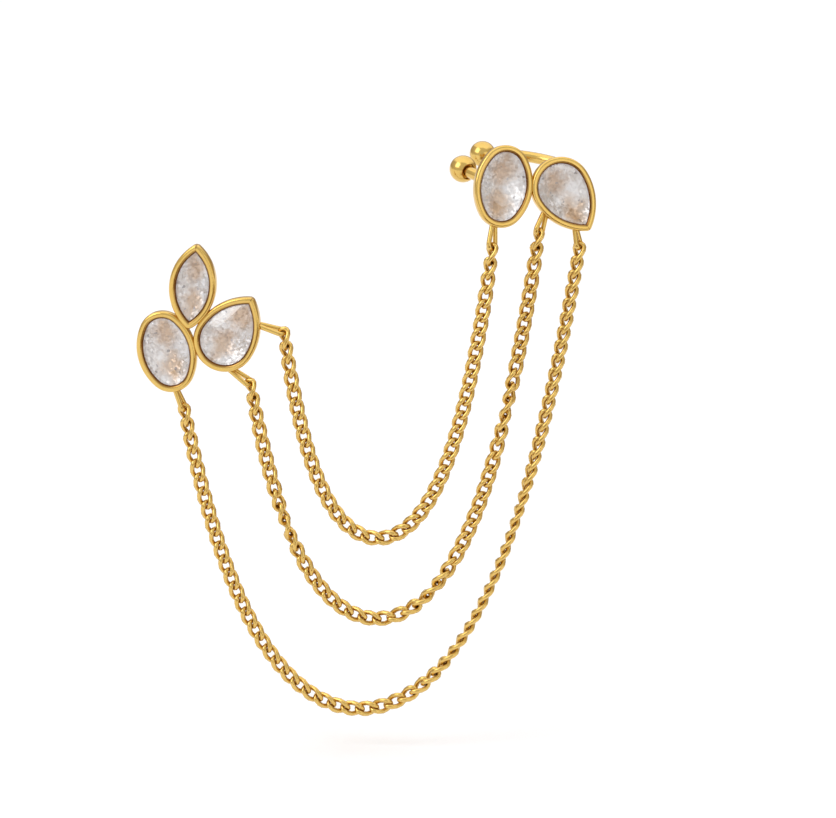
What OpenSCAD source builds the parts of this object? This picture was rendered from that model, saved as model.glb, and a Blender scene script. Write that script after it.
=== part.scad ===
// Earring of two jewelled settings joined by three draped chains: a stud for the lobe
// on the left and an open cuff for the rim of the ear on the right.
// The origin is where the ear post leaves the flat back of the stud's pear cup.
// +X is right and +Z is up as the earring hangs. The stud faces -Y.

/* [Cups] */
// Height of every cup, from its flat back to its rim
cup_h = 2.6; // [2.4:0.1:3.2]
// Width of the rim round a stone
rim_w = 0.6; // [0.5:0.05:0.7]
// Height of the upright band under the rim
band_h = 0.8; // [0.6:0.1:1.2]
// How far the wall draws in from the band to the back
back_inset = 0.8; // [0.4:0.1:1]
// Half width of the oval cups
oval_half_w = 2.85; // [2.8:0.05:2.9]
// Radius of the oval cups' narrow ends
oval_end_r = 2.3; // [2.25:0.05:2.35]
// Length of the straight line between the two end centres of an oval cup
oval_reach = 3.3; // [3.2:0.1:3.4]
// Radius of the pear cups' round end
pear_r = 3; // [2.95:0.05:3.1]
// Radius of the pear cups' two flanks
pear_flank_r = 5.85; // [5.6:0.05:6.2]
// Half width of the marquise cup
marquise_half_w = 2.2; // [2.2:0.05:2.35]
// Radius of the marquise cup's two sides
marquise_side_r = 4.9; // [4.8:0.1:5.2]

/* [Stones] */
// Height of the crown above the girdle
crown_h = 0.6; // [0.4:0.05:0.7]
// Thickness of the girdle
girdle_h = 0.15; // [0.1:0.05:0.2]
// Depth of the pavilion below the girdle
pavilion_h = 1.45; // [1.1:0.05:1.5]
// Size of the table against the girdle
table_share = 0.56; // [0.45:0.01:0.65]

/* [Ear post] */
// Diameter of the post
post_d = 0.8; // [0.7:0.05:1]
// Length of the post behind the stud
post_len = 10; // [8:0.5:12]

/* [Cuff ring] */
// Radius of the ring, at the middle of its wire
ring_r = 5.9; // [5.5:0.1:6.5]
// Diameter of the ring's wire
ring_wire_d = 1.08; // [0.9:0.02:1.2]
// How far the ring's back rises against the face of the cuff, in degrees
ring_rise = 16; // [8:1:22]
// Diameter of the two balls on the ring's ends
ball_d = 2.6; // [2.2:0.1:3]

/* [Chains] */
// Diameter of the links' wire
link_wire_d = 0.28; // [0.24:0.01:0.28]
// Length of a link, at the middle of its wire
link_len = 1.96; // [1.92:0.01:1.98]
// Width of a link, at the middle of its wire
link_w = 1.08; // [1.06:0.01:1.12]
// Turn of each end of a link out of the link's middle plane, in degrees
link_twist = 50; // [48:1:52]
// Length of the inner chain between its two loops
inner_len = 54.75; // [54.4:0.05:55.1]
// Length of the middle chain between its two loops
middle_len = 69.9; // [69.5:0.05:70.4]
// Length of the outer chain between its two loops
outer_len = 88; // [87.5:0.05:88.6]
// Diameter of the wire of the soldered loops
loop_wire_d = 0.4; // [0.36:0.02:0.42]
// Width of a soldered loop, at the middle of its wire
loop_w = 1; // [0.9:0.05:1.1]

/* [Cuff place] */
// The cuff's oval cup, right of the ear post
cuff_x = 24.9; // [24.4:0.1:25.4]
// The cuff's oval cup, behind the ear post's seat
cuff_y = 4; // [3.5:0.1:4.5]
// The cuff's oval cup, above the ear post
cuff_z = 15.1; // [14.6:0.1:15.6]
// Turn of the cuff's face to the right, in degrees
cuff_turn = 25; // [15:1:30]
// Lean of the cuff's face back, in degrees
cuff_lean = 12; // [5:1:15]
// Tilt of the cuff to the right, in degrees
cuff_tilt = 10; // [5:1:15]

/* [Hidden] */
$fa = 3;
$fs = 0.05;

// A setting is laid out flat on a bench: X right, Y up the face, Z from the back to the face.
// Cups: shape, x, y, height of the back above the bench, turn of the long axis from +Y, and
// size against the dimensions above. Soldered neighbours stand a hair out of line.
STUD_CUPS = [
    ["oval", -5.56, -1.36, 0.05, 14.5, 1],
    ["marquise", -3.15, 5.1, 0.06, -4.5, 1.03],
    ["pear", 0, 0, 0, -31.5, 1],
];
CUFF_CUPS = [
    ["oval", 0, 0, 0, 0, 1],
    ["pear", 5.62, 0.72, 0.07, -137.5, 0.975],
];
CUP_SHAPE = 0;
CUP_X = 1;
CUP_Y = 2;
CUP_Z = 3;
CUP_TURN = 4;
CUP_SIZE = 5;
// Loops: x and y where each leaves its cup, its direction, its length and its own turn
STUD_LOOPS = [
    [3.42, 1.56, -14, 2.55, 15],
    [0.71, -2.92, -34, 2.45, 20],
    [-4.64, -5.22, -66, 2.18, 10],
];
CUFF_LOOPS = [
    [-0.3, -3.93, -87, 2.32, 52],
    [4.48, -2.13, -101, 2.07, 52],
    [7.77, -3.11, -71, 1.89, 38],
];
LOOP_X = 0;
LOOP_Y = 1;
LOOP_DIR = 2;
LOOP_LEN = 3;
LOOP_TURN = 4;
// Height of the loops' middle above the cups' backs
loop_z = 1.75;
// How far a loop's ends are sunk in the cup's wall
loop_sink = 0.35;

// Number of links in each chain
INNER_LINKS = 40;
MIDDLE_LINKS = 51;
OUTER_LINKS = 64;
// Roll of the links about the chain, between the links that hook the loops: share of the
// chain's length, degrees. Links turn easily only towards lower values.
INNER_ROLL = [[0.1, 0], [0.91, 0]];
MIDDLE_ROLL = [
    [0.08, 0], [0.13, 0], [0.27, -180], [0.4, -180], [0.54, -360], [0.68, -360],
    [0.82, -540], [0.93, -540],
];
OUTER_ROLL = [[0.07, 0], [0.42, 0], [0.52, -90], [0.69, -90], [0.8, -50], [0.95, -50]];

// Places of a setting: origin, lean, turn and tilt
STUD_PLACE = [[0, 0, 0], 0, 0, 0];
CUFF_PLACE = [[cuff_x, cuff_y, cuff_z], cuff_lean, cuff_turn, cuff_tilt];

// Outline of an oval: four arcs, whose centres form two equal triangles
oval_c = oval_reach / 2;
oval_side_r = (pow(oval_half_w, 2) + pow(oval_c, 2) - pow(oval_end_r, 2))
    / (2 * (oval_half_w - oval_end_r));
oval_side_q = oval_side_r - oval_half_w;
oval_joint_a = atan2(oval_c, oval_side_q);
// Outline of a pear: the flanks' centres lie this far beyond the middle
pear_q = pear_flank_r - pear_r;
// Outline of the marquise: the sides' centres lie this far beyond the middle
marquise_q = marquise_side_r - marquise_half_w;
// Room that the revolved walls need to reach past a mitred tip
reach_far = 12;

// Wall of a cup: thickness of its back, depth of the lip and width of the stone's recess
floor_t = 0.4;
lip_h = 0.27;
recess_w = 0.2;
edge_r = 0.18;
EDGE_STEPS = 3;
// Inset of the cavity's foot, and of the wall's inner end in the back
foot_inset = 1.15;
wall_inset = 1.3;
// The back plate's edge is buried in the wall at this inset
plate_inset = 1.05;
PLATE_STEPS = 10;

// A stone keeps this gap to its recess, and its outline has this many points an arc
stone_gap = 0.03;
STONE_STEPS = 3;
girdle_inset = rim_w - recess_w + stone_gap;
girdle_z = cup_h - 0.6;

// Ring of the cuff: where its front lies behind the cups, sunk in their backs for the solder,
// and its turn against the cups
ring_sink = 0.38;
ring_front = [3.77, 0.55, ring_sink - ring_wire_d / 2];
ring_turn = 4.6;
// Angles at which the wire ends, in the ring's plane: 270 is the front
ring_start_a = 199;
ring_end_a = 464;
ball_reach = 1.12;
pin_d = 0.9;
pin_len = 1.5;
bore_gap = 0.05;
bore_depth = 0.6;
mouth_r = 0.74;
mouth_depth = 0.45;

// Ear post: solder pad at its foot and blunt tip
pad_r = 0.95;
pad_h = 0.35;
tip_r = post_d / 4;
tip_len = 0.5;

// Links: stations round a link, sides of its wire and the power that squares its ends
LINK_STATIONS = 10;
WIRE_SIDES = 5;
end_power = 0.8;
twist_reach = 0.8;
// A loop's wire lies this far inside the end of the link that hooks it
hook = link_wire_d / 2 + loop_wire_d / 2 + 0.15;
// Turn of a link's sides where the loop's wire lies between them
hook_twist = 38;
settle_a = 15;

gold = "goldenrod";
clear_stone = "lavender";

// Outline points of the three shapes, moved inwards by an inset

function arc(x, y, r, from, to, steps) =
    [for (i = [0:steps - 1]) let (a = from + (to - from) * i / steps) [x + r * cos(a), y + r * sin(a)]];

function oval_outline(inset, steps) = concat(
    arc(-oval_side_q, 0, oval_side_r - inset, -oval_joint_a, oval_joint_a, steps),
    arc(0, oval_c, oval_end_r - inset, oval_joint_a, 180 - oval_joint_a, steps),
    arc(oval_side_q, 0, oval_side_r - inset, 180 - oval_joint_a, 180 + oval_joint_a, steps),
    arc(0, -oval_c, oval_end_r - inset, 180 + oval_joint_a, 360 - oval_joint_a, steps)
);

function pear_outline(inset, steps) =
    let (tip_a = acos(pear_q / (pear_flank_r - inset)))
    concat(
        arc(-pear_q, 0, pear_flank_r - inset, 0, tip_a, steps),
        arc(pear_q, 0, pear_flank_r - inset, 180 - tip_a, 180, steps),
        arc(0, 0, pear_r - inset, 180, 360, 2 * steps)
    );

function marquise_outline(inset, steps) =
    let (tip_a = acos(marquise_q / (marquise_side_r - inset)))
    concat(
        arc(-marquise_q, 0, marquise_side_r - inset, -tip_a, tip_a, 2 * steps),
        arc(marquise_q, 0, marquise_side_r - inset, 180 - tip_a, 180 + tip_a, 2 * steps)
    );

function outline(shape, inset, steps) =
    shape == "oval" ? oval_outline(inset, steps)
    : shape == "pear" ? pear_outline(inset, steps)
    : marquise_outline(inset, steps);

// Section of a cup's wall: X is the distance from the outline, Y the height
function wall_section() = concat(
    [[-back_inset, 0], [0, cup_h - band_h]],
    [for (i = [0:EDGE_STEPS]) let (a = 90 * i / EDGE_STEPS)
        [edge_r * (cos(a) - 1), cup_h + edge_r * (sin(a) - 1)]],
    [for (i = [0:EDGE_STEPS]) let (a = 90 + 90 * i / EDGE_STEPS)
        [edge_r * (cos(a) + 1) - rim_w, cup_h + edge_r * (sin(a) - 1)]],
    [
        [-rim_w, cup_h - lip_h],
        [recess_w - rim_w, cup_h - 1.5 * lip_h],
        [recess_w - rim_w, girdle_z - 0.05],
        [-rim_w - 0.15, girdle_z - 0.4],
        [-foot_inset, floor_t],
        [-wall_inset, floor_t],
        [-wall_inset, 0],
    ]
);

// Wall swept along one arc round the Z axis
module wall_arc(r, from, sweep) {
    rotate_extrude(start = from, angle = sweep)
        translate([r, 0])
            polygon(wall_section());
}

// Keeps the half of a wall that lies right of the middle line
module right_half(y_from, y_to) {
    intersection() {
        children();
        translate([0, y_from, -1]) cube([reach_far, y_to - y_from, cup_h + 2]);
    }
}

// The same wall on both sides of the middle line
module both_sides() {
    children();
    mirror([1, 0, 0]) children();
}

// A quarter of the oval wall: an end arc and a side arc that meet on one radius
module oval_quarter() {
    right_half(-reach_far, 0)
        translate([0, -oval_c, 0])
            rotate(-oval_joint_a) {
                wall_arc(oval_end_r, -70, 70);
                translate([oval_end_r - oval_side_r, 0, 0]) wall_arc(oval_side_r, 0, 50);
            }
}

module oval_wall() {
    both_sides() {
        oval_quarter();
        mirror([0, 1, 0]) oval_quarter();
    }
}

module pear_wall() {
    both_sides() {
        right_half(-reach_far, 0) wall_arc(pear_r, -100, 100);
        right_half(0, reach_far) translate([-pear_q, 0, 0]) wall_arc(pear_flank_r, 0, 75);
    }
}

module marquise_wall() {
    both_sides()
        right_half(-reach_far, reach_far)
            translate([-marquise_q, 0, 0]) wall_arc(marquise_side_r, -75, 150);
}

// A cup: its wall and the plate that closes its back
module cup(shape) {
    if (shape == "oval") oval_wall();
    if (shape == "pear") pear_wall();
    if (shape == "marquise") marquise_wall();
    linear_extrude(floor_t) polygon(outline(shape, plate_inset, PLATE_STEPS));
}

// Places a cup, or the stone in it, on the bench
module in_cup(row) {
    translate([row[CUP_X], row[CUP_Y], row[CUP_Z]]) rotate(row[CUP_TURN]) scale(row[CUP_SIZE]) children();
}

module cups(table) {
    for (row = table) in_cup(row) cup(row[CUP_SHAPE]);
}

// A soldered loop: two legs that leave the cup's wall and a round end
module loop(row) {
    leg = row[LOOP_LEN] - loop_w / 2 - loop_wire_d / 2;
    translate([row[LOOP_X], row[LOOP_Y], loop_z])
        rotate([0, 0, row[LOOP_DIR]])
            rotate([90 + row[LOOP_TURN], 0, 0]) {
                for (side = [-1, 1])
                    translate([-loop_sink, side * loop_w / 2, 0])
                        rotate([0, 90, 0]) cylinder(d = loop_wire_d, h = leg + loop_sink);
                translate([leg, 0, 0])
                    rotate_extrude(start = -90, angle = 180)
                        translate([loop_w / 2, 0]) circle(d = loop_wire_d);
            }
}

// Plain post for the pierced lobe, with a pad at its foot and a blunt tip
module ear_post() {
    r = post_d / 2;
    rotate([180, 0, 0])
        rotate_extrude()
            polygon([
                [0, -floor_t / 2], [pad_r, -floor_t / 2], [pad_r, pad_h / 2], [r, pad_h],
                [r, post_len - tip_len], [tip_r, post_len], [0, post_len],
            ]);
}

// Places a setting's bench in the earring
module placed(place) {
    translate(place[0])
        rotate([90 - place[1], 0, place[2]])
            rotate(-place[3])
                children();
}

module stud_setting() {
    color(gold)
        placed(STUD_PLACE) {
            cups(STUD_CUPS);
            for (row = STUD_LOOPS) loop(row);
            ear_post();
        }
}

// Puts what lies in the ring's own plane on the cuff's bench
module on_ring() {
    translate(ring_front) rotate([ring_rise - 90, 0, ring_turn]) translate([0, ring_r, 0]) children();
}

// Turns +X to the way that the wire runs out at an end: -1 at the front end, 1 at the back end
module at_end(angle, way) {
    rotate(angle) translate([ring_r, 0, 0]) rotate(way * 90) children();
}

// Open ring of round wire, with a thinner pin on each end for its ball
module ring() {
    on_ring() {
        rotate_extrude(start = ring_start_a, angle = ring_end_a - ring_start_a)
            translate([ring_r, 0]) circle(d = ring_wire_d);
        for (end = [[ring_start_a, -1], [ring_end_a, 1]])
            at_end(end[0], end[1])
                translate([-0.2, 0, 0]) rotate([0, 90, 0]) cylinder(d = pin_d, h = pin_len + 0.2);
    }
}

module cuff_setting() {
    color(gold)
        placed(CUFF_PLACE) {
            cups(CUFF_CUPS);
            for (row = CUFF_LOOPS) loop(row);
            ring();
        }
}

// Ball with a bore for the pin and a wider mouth for the wire
module ball(angle, way) {
    bore_r = pin_d / 2 + bore_gap;
    mouth_x = sqrt(pow(ball_d / 2, 2) - pow(mouth_r, 2));
    color(gold)
        placed(CUFF_PLACE)
            on_ring()
                at_end(angle, way)
                    translate([ball_reach, 0, 0])
                        difference() {
                            sphere(d = ball_d);
                            rotate([0, -90, 0]) {
                                translate([0, 0, -bore_depth])
                                    cylinder(r = bore_r, h = ball_d);
                                translate([0, 0, mouth_x - mouth_depth])
                                    cylinder(r1 = bore_r, r2 = mouth_r + 0.4, h = 2 * mouth_depth);
                            }
                        }
}

// Cut stone: a table, a crown and a pavilion of flat facets between rings of the outline
module stone(place, row) {
    edge = outline(row[CUP_SHAPE], girdle_inset, STONE_STEPS);
    n = len(edge);
    points = concat(
        [for (p = edge) [each table_share * p, girdle_z + girdle_h + crown_h]],
        [for (p = edge) [p[0], p[1], girdle_z + girdle_h]],
        [for (p = edge) [p[0], p[1], girdle_z]],
        [[0, 0, girdle_z - pavilion_h]]
    );
    faces = concat(
        [[for (i = [0:n - 1]) n - 1 - i]],
        [for (ring = [0, 1]) for (i = [0:n - 1])
            [ring * n + i, ring * n + (i + 1) % n, (ring + 1) * n + (i + 1) % n, (ring + 1) * n + i]],
        [for (i = [0:n - 1]) [2 * n + i, 2 * n + (i + 1) % n, 3 * n]]
    );
    color(clear_stone)
        placed(place)
            in_cup(row) polyhedron(points, faces);
}

// A chain hangs in a catenary between the round ends of two loops

function turn_x(p, a) = [p[0], p[1] * cos(a) - p[2] * sin(a), p[1] * sin(a) + p[2] * cos(a)];
function turn_z(p, a) = [p[0] * cos(a) - p[1] * sin(a), p[0] * sin(a) + p[1] * cos(a), p[2]];
function in_place(place, p) =
    place[0] + turn_z(turn_x(turn_z(p, -place[3]), 90 - place[1]), place[2]);

// A loop in the earring: its direction, the way across it and the middle of its round end
function turned(place, v) = in_place(place, v) - place[0];
function loop_ahead(place, row) = turned(place, [cos(row[LOOP_DIR]), sin(row[LOOP_DIR]), 0]);
function loop_across(place, row) =
    turned(place, turn_z([0, -sin(row[LOOP_TURN]), cos(row[LOOP_TURN])], row[LOOP_DIR]));
function loop_middle(place, row) =
    in_place(place, [row[LOOP_X], row[LOOP_Y], loop_z])
    + (row[LOOP_LEN] - loop_w / 2 - loop_wire_d / 2) * loop_ahead(place, row);

// A chain settles towards the lowest point of the round end, but not far from the loop's tip
function low_angle(place, row) =
    max(-settle_a, min(settle_a, atan2(-loop_across(place, row)[2], -loop_ahead(place, row)[2])));
function low_point(place, row) =
    let (a = low_angle(place, row))
    loop_middle(place, row)
    + loop_w / 2 * (cos(a) * loop_ahead(place, row) + sin(a) * loop_across(place, row));
function low_wire(place, row) =
    let (a = low_angle(place, row))
    cos(a) * loop_across(place, row) - sin(a) * loop_ahead(place, row);

function sinh(x) = (exp(x) - exp(-x)) / 2;
function asinh(x) = ln(x + sqrt(x * x + 1));

// Halves the interval that holds the catenary's size until it is found
function hang_size(span, drop_len, low, high, steps) =
    let (mid = sqrt(low * high))
    steps == 0 ? mid
    : 2 * mid * sinh(span / (2 * mid)) > drop_len ? hang_size(span, drop_len, mid, high, steps - 1)
    : hang_size(span, drop_len, low, mid, steps - 1);

// Point and slope of the catenary at a length along it: along, up and the slope's tangent
function hang_at(s, size, low_at, start) =
    let (u = (s + start) / size)
    [low_at + size * asinh(u), size * (sqrt(1 + u * u) - sqrt(1 + pow(start / size, 2))), u];

function signed_power(x, k) = sign(x) * pow(abs(x), k);

// Middle line of one link: an oval whose two ends are turned opposite ways
LINK_LINE = [for (i = [0:LINK_STATIONS - 1])
    let (
        a = (i + 0.5) * 360 / LINK_STATIONS,
        x = link_len / 2 * signed_power(cos(a), end_power),
        y = link_w / 2 * signed_power(sin(a), end_power),
        twist = link_twist * max(-1, min(1, 2 * x / (link_len * twist_reach)))
    )
    [x, y * cos(twist), y * sin(twist)]];

function unit(v) = v / norm(v);

// Skin of one link: a ring of wire points at each station
LINK_POINTS = [for (i = [0:LINK_STATIONS - 1])
    let (
        p = LINK_LINE[i],
        along = unit(LINK_LINE[(i + 1) % LINK_STATIONS] - LINK_LINE[(i + LINK_STATIONS - 1) % LINK_STATIONS]),
        out = unit(p - (p * along) * along),
        side = cross(along, out)
    )
    for (k = [0:WIRE_SIDES - 1])
        let (a = 360 * k / WIRE_SIDES)
        p + link_wire_d / 2 * (cos(a) * out + sin(a) * side)];
LINK_SIZE = LINK_STATIONS * WIRE_SIDES;
LINK_FACES = [for (i = [0:LINK_STATIONS - 1]) for (k = [0:WIRE_SIDES - 1])
    let (
        a = i * WIRE_SIDES + k,
        b = i * WIRE_SIDES + (k + 1) % WIRE_SIDES,
        c = ((i + 1) % LINK_STATIONS) * WIRE_SIDES + (k + 1) % WIRE_SIDES,
        d = ((i + 1) % LINK_STATIONS) * WIRE_SIDES + k
    )
    each [[a, c, b], [a, d, c]]];

// Frame of a hanging chain where its slope's tangent is u: along, over and front
function hang_frame(ahead, u) =
    let (along = unit(ahead + [0, 0, u]), over = unit([0, 0, 1] - u * ahead))
    [along, over, cross(along, over)];

// Roll that sets a link's end square to the wire it hooks, as near as can be to a wanted roll
function hook_roll(frame, across, end_twist, wanted) =
    let (
        wide = cross(across, frame[0]),
        roll = atan2(wide * frame[2], wide * frame[1]) - end_twist,
        off = roll - wanted + 90
    )
    wanted + off - 180 * floor(off / 180) - 90;

// A whole chain: links spread evenly, each rolled about the chain by the table
module chain(from, to, length, links, roll_table, across_from, across_to) {
    ahead = unit([to[0] - from[0], to[1] - from[1], 0]);
    span = norm([to[0] - from[0], to[1] - from[1]]);
    rise = to[2] - from[2];
    size = hang_size(span, sqrt(length * length - rise * rise), 0.5, 500, 60);
    low_at = span / 2 - size * asinh(rise / (2 * size * sinh(span / (2 * size))));
    start = size * sinh(-low_at / size);
    first = link_len / 2 - hook;
    pitch = (length - 2 * first) / (links - 1);
    first_roll = hook_roll(hang_frame(ahead, start / size), across_from, -hook_twist, roll_table[0][1]);
    last_roll = hook_roll(hang_frame(ahead, (start + length) / size), across_to, hook_twist,
        roll_table[len(roll_table) - 1][1]);
    rolls = concat([[first / length, first_roll]], roll_table, [[1 - first / length, last_roll]]);
    points = [for (n = [0:links - 1])
        let (
            s = first + n * pitch,
            at = hang_at(s, size, low_at, start),
            centre = from + at[0] * ahead + [0, 0, at[1]],
            frame = hang_frame(ahead, at[2]),
            roll = lookup(s / length, rolls)
        )
        for (p = LINK_POINTS)
            let (q = turn_x(p, roll))
            centre + q[0] * frame[0] + q[1] * frame[1] + q[2] * frame[2]];
    faces = [for (n = [0:links - 1]) for (f = LINK_FACES) [for (i = f) i + n * LINK_SIZE]];
    color(gold) polyhedron(points, faces);
}

module drape(i, length, links, roll_table) {
    chain(
        low_point(STUD_PLACE, STUD_LOOPS[i]), low_point(CUFF_PLACE, CUFF_LOOPS[i]),
        length, links, roll_table,
        low_wire(STUD_PLACE, STUD_LOOPS[i]), low_wire(CUFF_PLACE, CUFF_LOOPS[i])
    );
}

stud_setting();
cuff_setting();
ball(ring_start_a, -1);  // front_ball
ball(ring_end_a, 1);  // back_ball
stone(STUD_PLACE, STUD_CUPS[0]);  // stud_oval_stone
stone(STUD_PLACE, STUD_CUPS[1]);  // stud_marquise_stone
stone(STUD_PLACE, STUD_CUPS[2]);  // stud_pear_stone
stone(CUFF_PLACE, CUFF_CUPS[0]);  // cuff_oval_stone
stone(CUFF_PLACE, CUFF_CUPS[1]);  // cuff_pear_stone
drape(0, inner_len, INNER_LINKS, INNER_ROLL);  // inner_chain
drape(1, middle_len, MIDDLE_LINKS, MIDDLE_ROLL);  // middle_chain
drape(2, outer_len, OUTER_LINKS, OUTER_ROLL);  // outer_chain
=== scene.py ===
# %% [markdown]
# A jewelled stud and ear cuff, joined by three chains
#
# The real earring is gold-plated brass set with colourless cut stones. A stud with three
# bezel-set stones sits on the lobe, a cuff with two more clips on the rim of the ear, and
# three fine curb chains hang between them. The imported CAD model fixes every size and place.
# This script puts a finished surface on each of its pieces and lights them for a picture.

# %% Load the frame
from math import acos, asin, asinh, atan2, cos, degrees, hypot, pi, radians, sin, sinh, sqrt

import bmesh
import bpy
from mathutils import Matrix, Vector


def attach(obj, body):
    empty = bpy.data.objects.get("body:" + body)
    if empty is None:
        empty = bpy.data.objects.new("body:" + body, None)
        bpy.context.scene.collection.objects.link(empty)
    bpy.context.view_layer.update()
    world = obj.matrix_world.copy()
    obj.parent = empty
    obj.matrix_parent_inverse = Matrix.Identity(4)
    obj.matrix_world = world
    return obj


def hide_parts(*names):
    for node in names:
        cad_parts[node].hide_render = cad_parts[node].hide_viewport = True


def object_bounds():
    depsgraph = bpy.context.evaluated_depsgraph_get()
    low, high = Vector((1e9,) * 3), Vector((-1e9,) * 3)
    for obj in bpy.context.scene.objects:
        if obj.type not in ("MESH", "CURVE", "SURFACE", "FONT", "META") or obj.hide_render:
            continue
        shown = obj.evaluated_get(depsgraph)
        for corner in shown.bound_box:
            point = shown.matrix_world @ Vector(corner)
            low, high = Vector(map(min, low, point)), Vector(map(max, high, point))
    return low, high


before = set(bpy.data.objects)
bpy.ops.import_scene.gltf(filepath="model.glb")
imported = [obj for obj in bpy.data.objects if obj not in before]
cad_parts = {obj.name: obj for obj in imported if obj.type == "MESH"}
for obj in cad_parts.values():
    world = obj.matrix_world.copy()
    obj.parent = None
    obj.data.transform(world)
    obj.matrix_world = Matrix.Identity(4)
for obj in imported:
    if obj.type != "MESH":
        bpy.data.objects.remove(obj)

MM = 0.001
cad_low, cad_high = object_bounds()
print("CAD box in mm:", [round(v / MM, 1) for v in (cad_high - cad_low)])

# %% [markdown]
# Putting things in the scene
#
# Blender keeps a lens, a lamp or a mesh apart from the object that has a place. One helper
# makes the object and links it, for the camera, the studio and every piece of the earring.

# %% Putting things in the scene
def placed(name, data):
    """A new object in the scene that shows a camera, lamp or mesh."""
    thing = bpy.data.objects.new(name, data)
    bpy.context.scene.collection.objects.link(thing)
    return thing


# %% [markdown]
# Camera
#
# The photograph was taken a little from the right and from above, with a long lens, so that
# the stud and the cuff look equally large. Two angles give the camera's direction, a third
# its small tilt, and the width of the picture in millimetres gives its distance.

# %% Camera
PICTURE = (836, 818)
MM_PER_PIXEL = 0.095
STUD_PIXEL = (223.8, 341.5)
STUD_FACE = Vector((0, -2.6, 0)) * MM
LENS_MM, SENSOR_MM = 800, 36
view_turn, view_rise, view_tilt = radians(10), radians(12), radians(1.2)

to_camera = Vector((
    sin(view_turn) * cos(view_rise), -cos(view_turn) * cos(view_rise), sin(view_rise)))
level_right = Vector((cos(view_turn), sin(view_turn), 0))
level_up = to_camera.cross(level_right)
picture_right = level_right * cos(view_tilt) + level_up * sin(view_tilt)
picture_up = level_up * cos(view_tilt) - level_right * sin(view_tilt)
pixels_right = PICTURE[0] / 2 - STUD_PIXEL[0]
pixels_up = STUD_PIXEL[1] - PICTURE[1] / 2
aim = STUD_FACE + (picture_right * pixels_right + picture_up * pixels_up) * MM_PER_PIXEL * MM
distance = PICTURE[0] * MM_PER_PIXEL * MM * LENS_MM / SENSOR_MM

lens = bpy.data.cameras.new("camera")
lens.lens = LENS_MM
lens.sensor_width = SENSOR_MM
lens.sensor_fit = "HORIZONTAL"
lens.clip_start, lens.clip_end = 0.01, 50
camera = placed("camera", lens)
camera.matrix_world = (
    Matrix.Translation(aim + to_camera * distance)
    @ Matrix((picture_right, picture_up, to_camera)).transposed().to_4x4()
)
bpy.context.scene.camera = camera
print("Camera stands", round(distance, 3), "m away")

# %% [markdown]
# Node helpers
#
# Colours are read off as the hex values that a picture editor shows, which Blender needs as
# linear light. One small function adds a shader or geometry node and fills its sockets, so
# that a whole tree reads as a short list. Sockets go by name, or by number where names
# repeat: a Mix node for colours takes them as 6 and 7 and gives the mixture as output 2.


# %% Node helpers
def linear(hex_colour):
    """Turns an sRGB hex value such as 'E8B44C' into the linear colour that a socket takes."""
    parts = [int(hex_colour[i:i + 2], 16) / 255 for i in (0, 2, 4)]
    return [*(c / 12.92 if c <= 0.04045 else ((c + 0.055) / 1.055) ** 2.4 for c in parts), 1]


def add(tree, kind, settings=None, inputs=None):
    """Adds a node. An input is a plain value or another node's output socket."""
    node = tree.nodes.new(kind)
    for name, value in (settings or {}).items():
        setattr(node, name, value)
    for key, value in (inputs or {}).items():
        if isinstance(value, bpy.types.NodeSocket):
            tree.links.new(value, node.inputs[key])
        else:
            node.inputs[key].default_value = value
    return node


def new_material(name):
    """An empty material and its node tree."""
    material = bpy.data.materials.new(name)
    material.use_nodes = True
    material.node_tree.nodes.clear()
    return material, material.node_tree


# %% [markdown]
# Floor and card
#
# Such a picture is taken in a tent on a pale paper floor, which catches the earring's faint
# shadow. Polished gold shows whatever is round it, so a brown card lies on the floor in
# front, and darkens the undersides as the dim end of a studio does. It is there for
# reflections only: no camera sees it, and it throws no shadow and no brown light.

# %% Floor and card
FLOOR_DROP, CARD_LIFT, PAPER_GRAIN = 3 * MM, 0.5 * MM, 0.4 * MM
# Half the floor's side and the card's edges, in metres
FLOOR_REACH = 4
CARD_LEFT, CARD_RIGHT, CARD_FRONT, CARD_BACK = 0, 0.2, -0.22, -0.05


def sheet(name, left, right, front, back, z, material):
    """A level rectangle."""
    mesh = bpy.data.meshes.new(name)
    mesh.from_pydata(
        [(left, front, z), (right, front, z), (right, back, z), (left, back, z)], [], [(0, 1, 2, 3)])
    mesh.materials.append(material)
    return placed(name, mesh)


floor_paper, tree = new_material("white_paper")
place = add(tree, "ShaderNodeTexCoord").outputs["Object"]
grain = add(tree, "ShaderNodeTexNoise", inputs={"Vector": place, "Scale": 1 / PAPER_GRAIN, "Detail": 3})
shade = add(tree, "ShaderNodeMix", {"data_type": "RGBA"},
            {"Factor": grain.outputs["Fac"], 6: linear("FBFCFF"), 7: linear("F6F7FC")})
paper = add(tree, "ShaderNodeBsdfPrincipled", inputs={"Base Color": shade.outputs[2], "Roughness": 0.9})
add(tree, "ShaderNodeOutputMaterial", inputs={"Surface": paper.outputs[0]})
floor_z = cad_low.z - FLOOR_DROP
floor = sheet("floor", -FLOOR_REACH, FLOOR_REACH, -FLOOR_REACH, FLOOR_REACH, floor_z, floor_paper)

brown_card, tree = new_material("brown_card")
felt = add(tree, "ShaderNodeBsdfPrincipled", inputs={"Base Color": linear("86683A"), "Roughness": 0.9})
add(tree, "ShaderNodeOutputMaterial", inputs={"Surface": felt.outputs[0]})
card = sheet("card_in_front", CARD_LEFT, CARD_RIGHT, CARD_FRONT, CARD_BACK,
             floor_z + CARD_LIFT, brown_card)
card.visible_camera = card.visible_diffuse = card.visible_shadow = False
print("Floor at", round(floor_z / MM, 1), "mm")

# %% [markdown]
# Walls of the tent
#
# The walls are white above and behind the camera, and warm and darker on the far side. This
# difference gives each rim one bright line with deeper amber beside it. The world stands for
# them: its colour goes from one to the other along one direction.

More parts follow.
